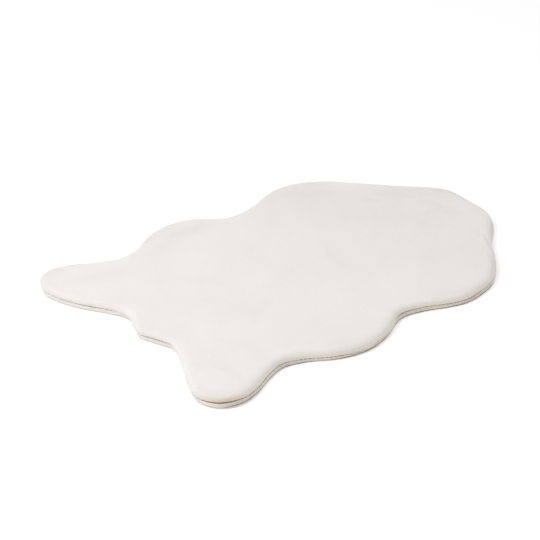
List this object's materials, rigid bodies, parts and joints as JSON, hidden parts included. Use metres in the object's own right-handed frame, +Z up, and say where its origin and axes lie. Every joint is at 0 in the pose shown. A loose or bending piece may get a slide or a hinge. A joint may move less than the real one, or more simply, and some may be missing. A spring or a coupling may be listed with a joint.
{
  "type": "hide-shaped tufted rug",
  "caption": "Flat hide-shaped tufted rug of short dense cream plush, with a rolled rim of pile, a taped edge and a thin backing cloth.",
  "frame": {"origin": "on the floor, under the middle of the rug's bounding box", "axes": "+X along the rug from its tail to its nose, +Y across it to the left legs and lobes, +Z up through the pile"},
  "size_m": [0.9054, 0.6102, 0.023],
  "materials": {
    "plush": "short dense cream plush pile, matt",
    "tape": "cream edge tape with fine overlock stitches, matt",
    "backing": "plain woven backing cloth, matt"
  },
  "bodies": {
    "root": {"pile_panel": "plush", "edge_binding": "tape", "backing_cloth": "backing"}
  },
  "joints": []
}
